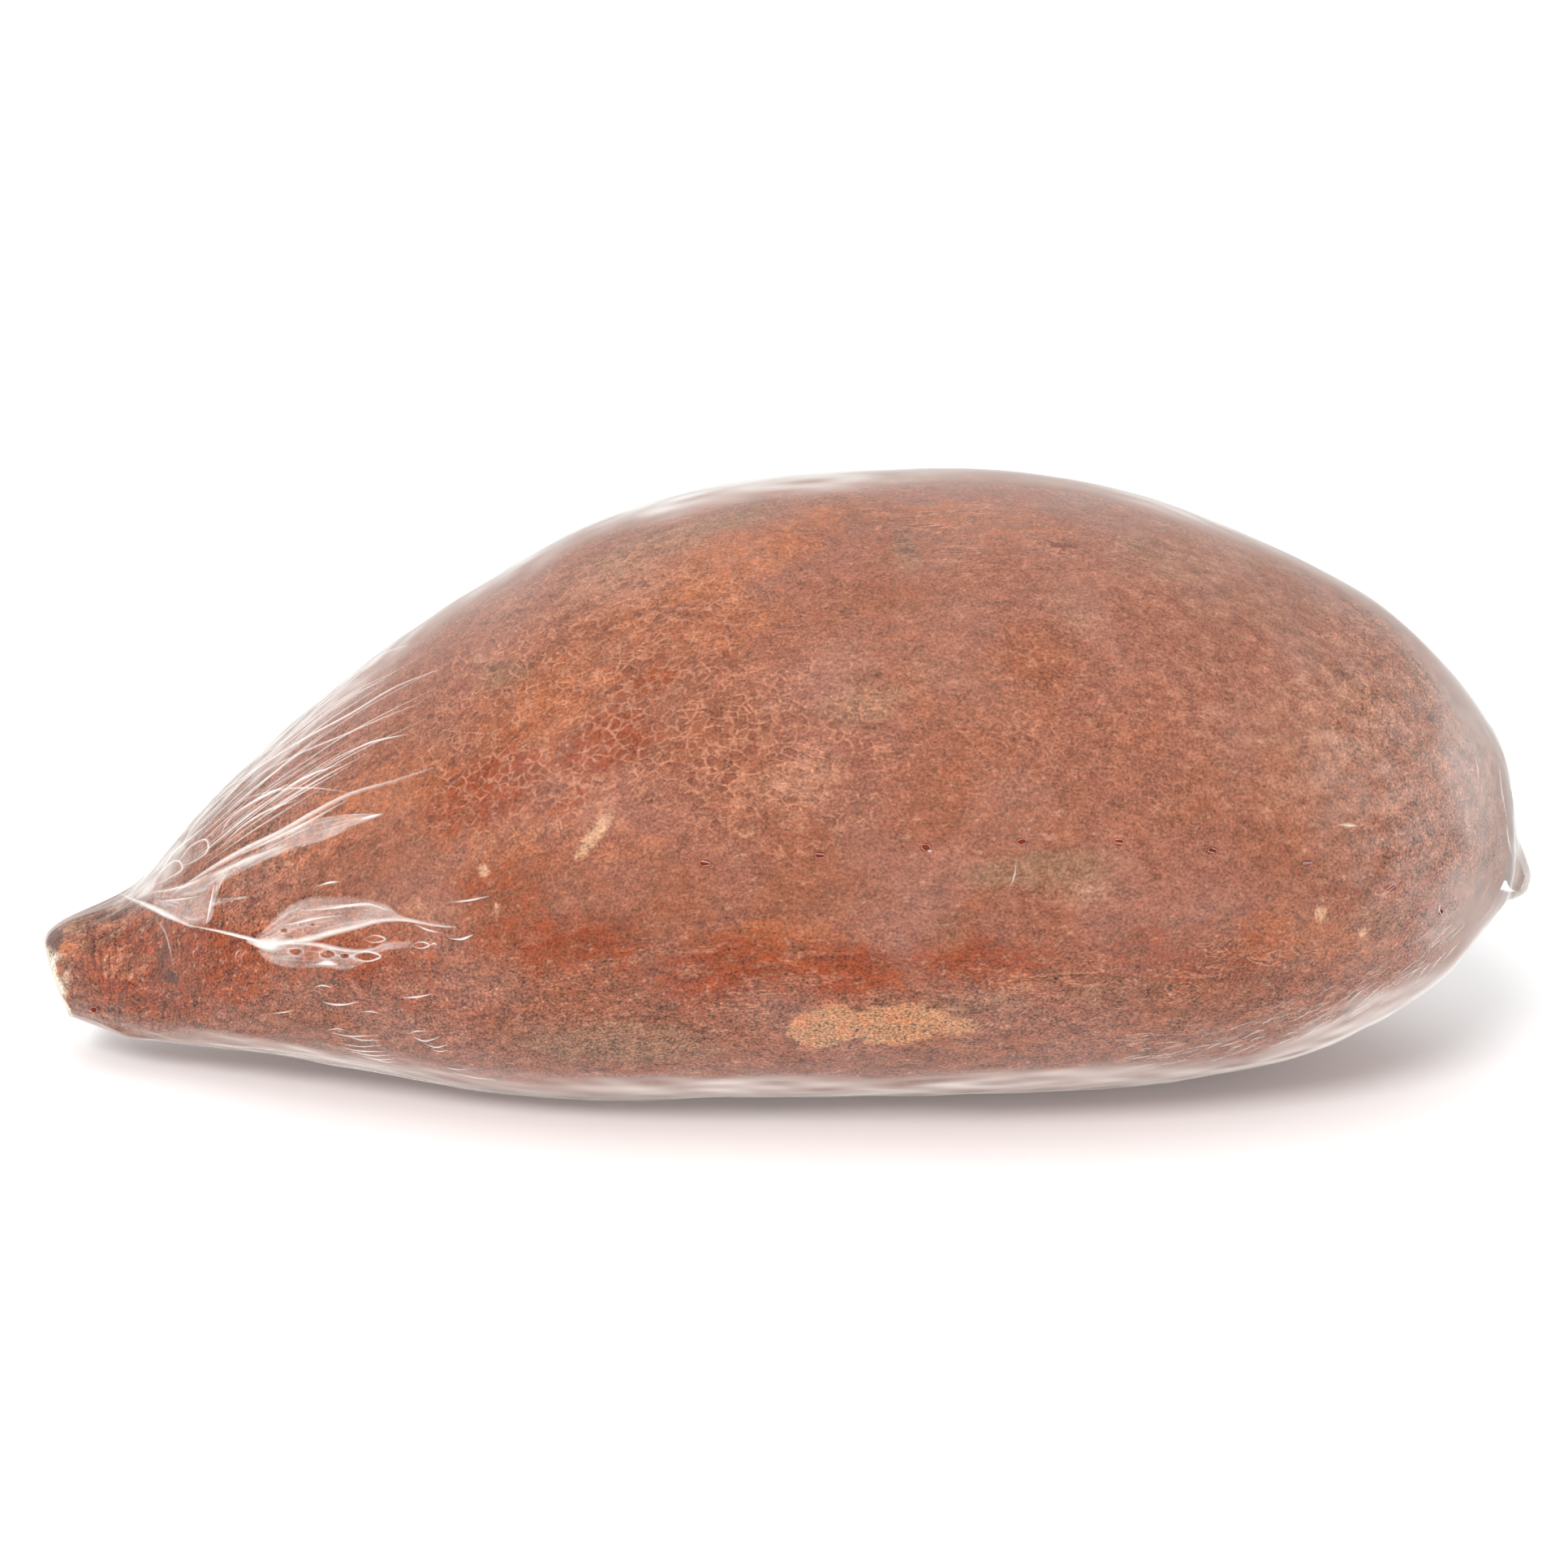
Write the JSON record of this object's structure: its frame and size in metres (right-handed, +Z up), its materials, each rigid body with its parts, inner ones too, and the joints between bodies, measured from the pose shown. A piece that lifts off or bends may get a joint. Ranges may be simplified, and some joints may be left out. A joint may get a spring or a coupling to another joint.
{
  "type": "sweet potato in clear shrink film",
  "caption": "Whole raw sweet potato, spindle-shaped, with a cut neck and a thin tail, wrapped in tight clear heat-shrunk film with a row of small vent holes.",
  "frame": {"origin": "on the surface it rests on, under the middle of the wrapped root's bounding box", "axes": "+X along the root from the cut neck to the thin tail, +Y across it, +Z up; the side seen in the picture faces -Y"},
  "size_m": [0.1614, 0.0714, 0.0658],
  "materials": {
    "skin": "matt dusty skin of a raw root, dusty red-brown with orange patches, scuffs and fine crackle",
    "film": "thin clear heat-shrunk film, glossy, with a milky veil and fine pleats"
  },
  "bodies": {
    "root": {"sweet_potato": "skin", "shrink_film": "film"}
  },
  "joints": []
}
